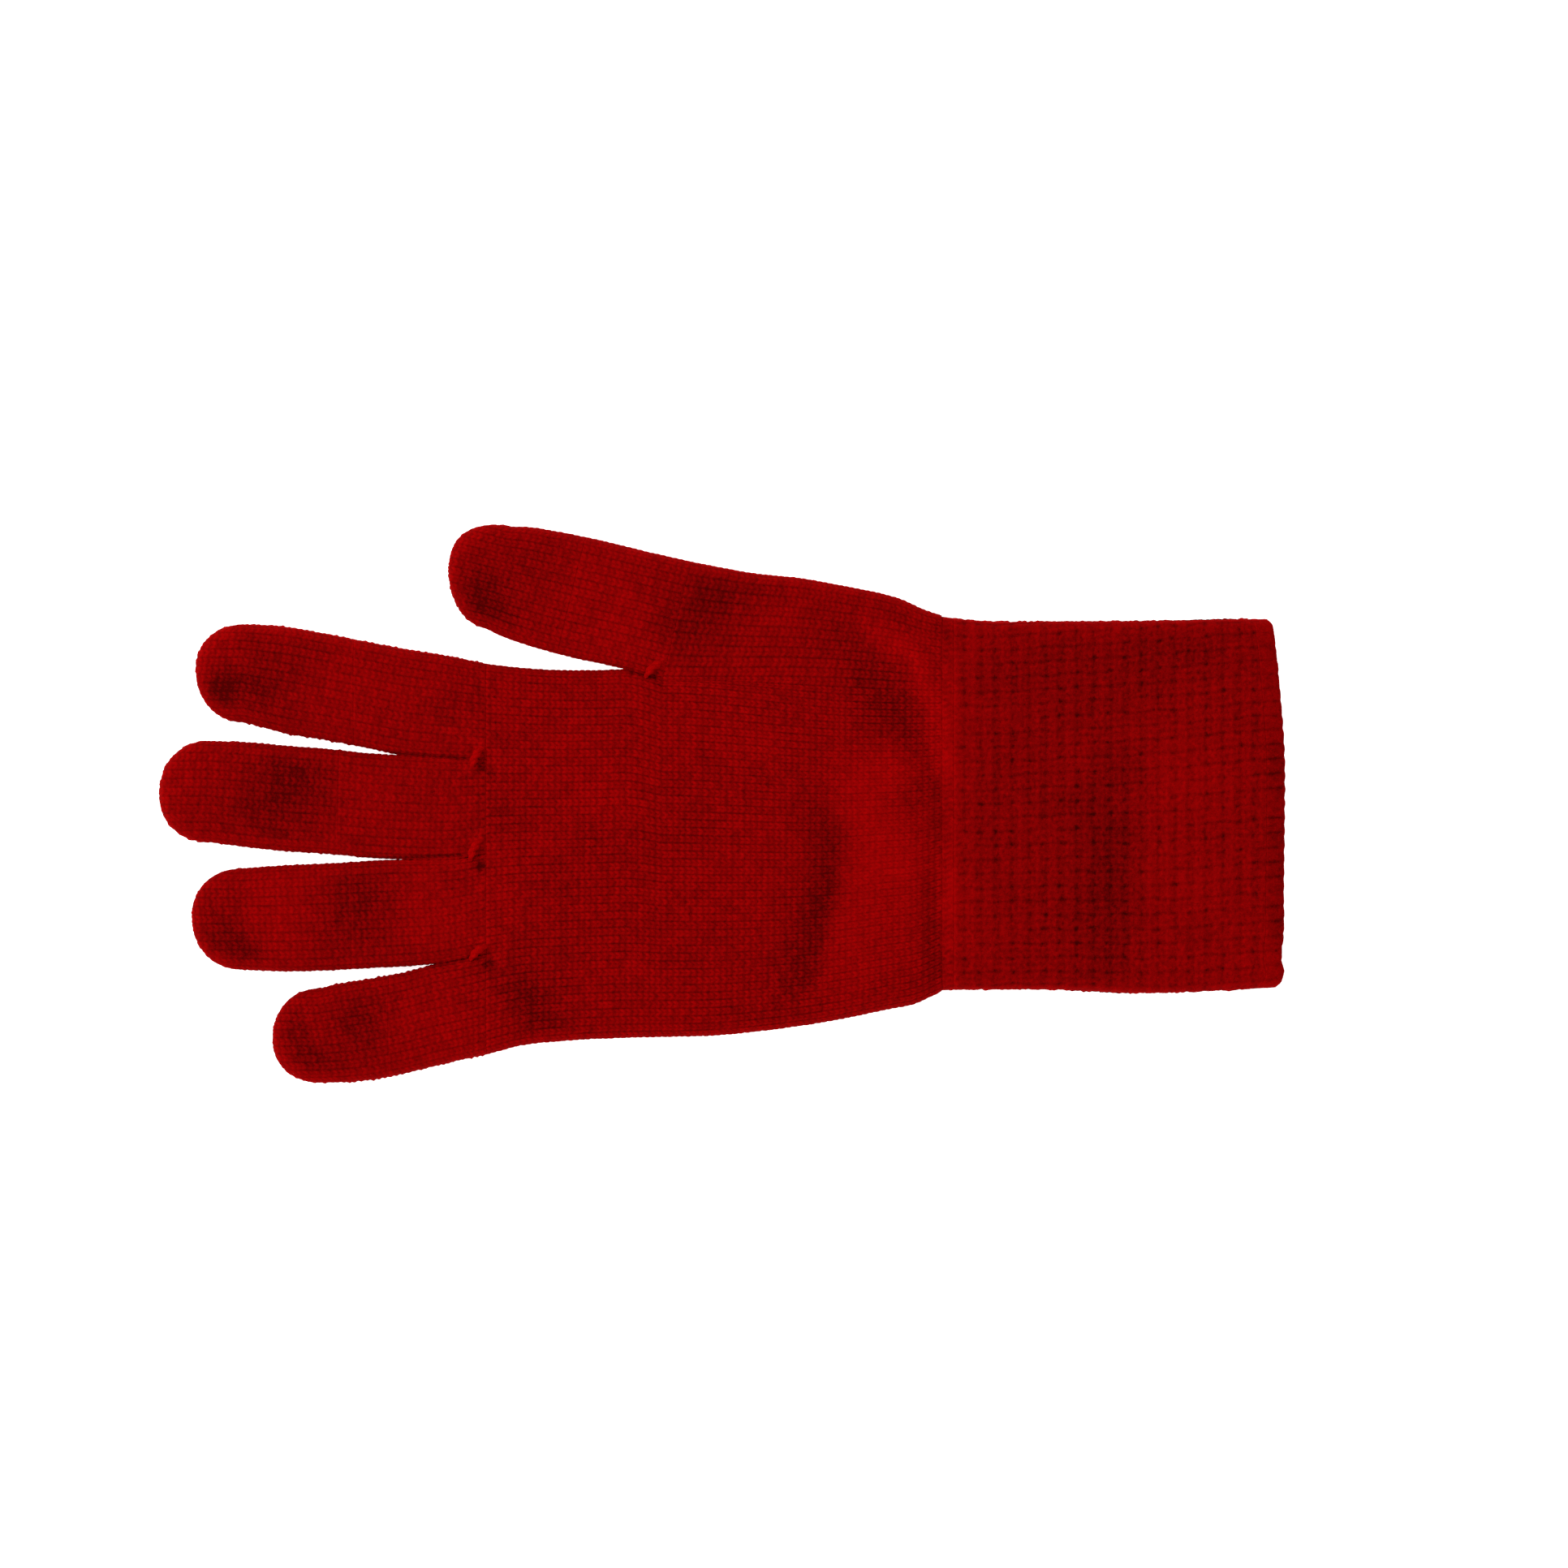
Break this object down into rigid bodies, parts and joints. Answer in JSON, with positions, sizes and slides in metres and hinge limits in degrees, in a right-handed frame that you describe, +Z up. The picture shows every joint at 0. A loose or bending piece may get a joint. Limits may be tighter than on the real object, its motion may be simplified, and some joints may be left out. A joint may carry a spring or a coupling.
{
  "type": "knitted glove",
  "caption": "Knitted glove with full-length fingers, a smooth stockinette hand and a long waffle-rib cuff, lying flat and open at the wrist.",
  "frame": {"origin": "centre of the footprint of the bounding box, on the surface the glove lies on", "axes": "+X from the fingertips to the cuff mouth, +Y to the thumb side, +Z up out of the palm"},
  "size_m": [0.26, 0.1292, 0.009],
  "materials": {
    "knit": "matte stockinette knit",
    "rib": "matte waffle-rib knit",
    "edge": "matte knitted edge",
    "stitch": "matte closing stitches"
  },
  "bodies": {
    "hand": {"hand_tube": "knit", "wrist_seam": "edge", "fork_tie_index_middle": "stitch", "fork_tie_middle_ring": "stitch", "fork_tie_ring_little": "stitch", "fork_tie_thumb": "stitch"},
    "cuff": {"rib_cuff": "rib", "cuff_welt": "edge"},
    "index_lower": {"index_lower_tube": "knit"},
    "index_tip": {"index_tip_pocket": "knit"},
    "middle_lower": {"middle_lower_tube": "knit"},
    "middle_tip": {"middle_tip_pocket": "knit"},
    "ring_lower": {"ring_lower_tube": "knit"},
    "ring_tip": {"ring_tip_pocket": "knit"},
    "little_lower": {"little_lower_tube": "knit"},
    "little_tip": {"little_tip_pocket": "knit"},
    "thumb_lower": {"thumb_lower_tube": "knit"},
    "thumb_tip": {"thumb_tip_pocket": "knit"}
  },
  "joints": [
    {"name": "wrist_bend", "type": "hinge", "parent": "hand", "child": "cuff", "pos_m": [0.0535, 0, 0.009], "axis": [0, -1, 0], "range_deg": [0, 60]},
    {"name": "index_knuckle", "type": "hinge", "parent": "hand", "child": "index_lower", "pos_m": [-0.0542, 0.0213, 0.009], "axis": [0, 1, 0], "range_deg": [0, 70]},
    {"name": "index_middle_fold", "type": "hinge", "parent": "index_lower", "child": "index_tip", "pos_m": [-0.0847, 0.02608, 0.009], "axis": [0, 1, 0], "range_deg": [0, 80]},
    {"name": "middle_knuckle", "type": "hinge", "parent": "hand", "child": "middle_lower", "pos_m": [-0.0542, -0.0007, 0.009], "axis": [0, 1, 0], "range_deg": [0, 70]},
    {"name": "middle_middle_fold", "type": "hinge", "parent": "middle_lower", "child": "middle_tip", "pos_m": [-0.0882, 0.00062, 0.009], "axis": [0, 1, 0], "range_deg": [0, 80]},
    {"name": "ring_knuckle", "type": "hinge", "parent": "hand", "child": "ring_lower", "pos_m": [-0.0542, -0.0241, 0.009], "axis": [0, 1, 0], "range_deg": [0, 70]},
    {"name": "ring_middle_fold", "type": "hinge", "parent": "ring_lower", "child": "ring_tip", "pos_m": [-0.0852, -0.02546, 0.009], "axis": [0, 1, 0], "range_deg": [0, 80]},
    {"name": "little_knuckle", "type": "hinge", "parent": "hand", "child": "little_lower", "pos_m": [-0.0542, -0.0466, 0.009], "axis": [0, 1, 0], "range_deg": [0, 70]},
    {"name": "little_middle_fold", "type": "hinge", "parent": "little_lower", "child": "little_tip", "pos_m": [-0.0767, -0.05097, 0.009], "axis": [0, 1, 0], "range_deg": [0, 80]},
    {"name": "thumb_knuckle", "type": "hinge", "parent": "hand", "child": "thumb_lower", "pos_m": [-0.0102, 0.0423, 0.009], "axis": [0.2364, 0.9717, 0], "range_deg": [0, 60]},
    {"name": "thumb_middle_fold", "type": "hinge", "parent": "thumb_lower", "child": "thumb_tip", "pos_m": [-0.03449, 0.04821, 0.009], "axis": [0.2364, 0.9717, 0], "range_deg": [0, 70]}
  ]
}
